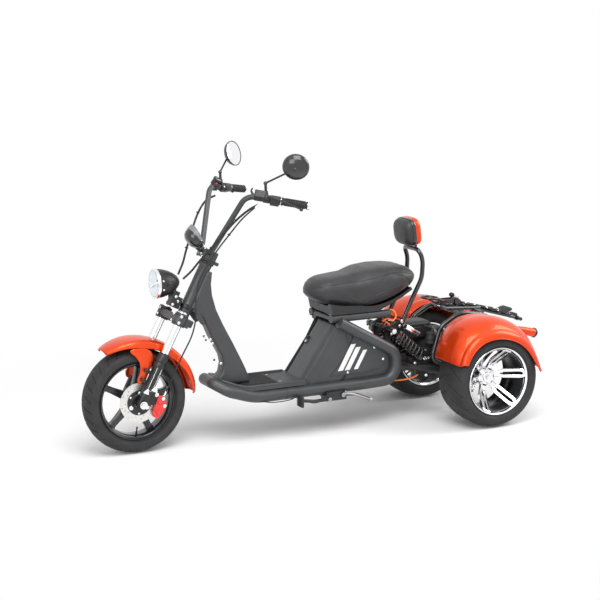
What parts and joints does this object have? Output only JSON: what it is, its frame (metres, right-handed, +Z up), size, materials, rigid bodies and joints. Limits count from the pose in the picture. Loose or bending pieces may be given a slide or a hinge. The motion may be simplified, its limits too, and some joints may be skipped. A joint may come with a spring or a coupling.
{
  "type": "motor trike",
  "caption": "Three-wheeled electric chopper scooter with a single front wheel, step-through deck, saddle with backrest, finned rear fenders and a folded bag carrier.",
  "frame": {"origin": "on the ground under the middle of the vehicle's length, on its middle plane", "axes": "+X forward, +Y to the rider's left, +Z up"},
  "size_m": [2.3016, 0.896, 1.3512],
  "materials": {
    "tyre": "matte",
    "black_gloss": "gloss",
    "disc_steel": "satin",
    "alloy": "polished",
    "steel_dark": "satin",
    "frame_grey": "satin",
    "chrome": "polished",
    "black_satin": "satin",
    "caliper_red": "gloss",
    "orange_paint": "gloss",
    "lens_clear": "gloss",
    "rubber_black": "matte",
    "plastic_black": "satin",
    "plastic_grey": "satin",
    "mirror": "polished",
    "seat_leather": "satin",
    "cast_grey": "satin",
    "lens_red": "gloss"
  },
  "bodies": {
    "chassis": {"neck": "frame_grey", "deck_tube": "frame_grey", "deck_floor": "plastic_grey", "seat_frame": "frame_grey", "side_panels": "frame_grey", "battery_box": "plastic_black", "seat": "seat_leather", "seat_base": "plastic_black", "backrest_bar": "black_gloss", "backrest_shell": "orange_paint", "backrest_pad": "seat_leather", "rear_frame": "black_satin", "swing_arm": "black_satin", "rear_drive": "cast_grey", "shocks": "black_gloss", "controller_box": "plastic_black", "rear_fenders": "orange_paint", "rear_carrier": "black_gloss", "tail_lamps": "lens_red", "foot_controls": "black_satin"},
    "rack_arm": {"rack_cradle": "black_gloss"},
    "steering": {"steering_stem": "frame_grey", "fork_tubes": "chrome", "fork_sliders": "black_satin", "front_axle": "chrome", "front_caliper": "caliper_red", "front_fender": "orange_paint", "headlight": "black_satin", "headlight_lens": "lens_clear", "headlight_bracket": "black_satin", "handlebar": "frame_grey", "grips": "rubber_black", "hand_controls": "plastic_black", "mirrors": "plastic_black", "mirror_glass": "mirror", "speedometer": "plastic_grey", "cables": "rubber_black"},
    "front_wheel": {"front_tyre": "tyre", "front_rim": "black_gloss", "brake_disc": "disc_steel"},
    "rear_wheel_left": {"rear_tyre_left": "tyre", "rear_rim_left": "alloy", "rear_axle_left": "steel_dark"},
    "rear_wheel_right": {"rear_tyre_right": "tyre", "rear_rim_right": "alloy", "rear_axle_right": "steel_dark"}
  },
  "joints": [
    {"name": "steering_turn", "type": "hinge", "parent": "chassis", "child": "steering", "pos_m": [0.59886, 0, 0.7338], "axis": [-0.4617, 0, 0.887], "range_deg": [-35, 35]},
    {"name": "front_wheel_spin", "type": "hinge", "parent": "steering", "child": "front_wheel", "pos_m": [0.90925, 0, 0.2415], "axis": [0, 1, 0], "continuous": true},
    {"name": "rear_wheel_left_spin", "type": "hinge", "parent": "chassis", "child": "rear_wheel_left", "pos_m": [-0.77575, 0.324, 0.228], "axis": [0, 1, 0], "continuous": true},
    {"name": "rear_wheel_right_spin", "type": "hinge", "parent": "chassis", "child": "rear_wheel_right", "pos_m": [-0.77575, -0.324, 0.228], "axis": [0, 1, 0], "continuous": true},
    {"name": "rack_arm_fold", "type": "hinge", "parent": "chassis", "child": "rack_arm", "pos_m": [-0.78975, 0, 0.55], "axis": [0, -1, 0], "range_deg": [0, 95]}
  ]
}
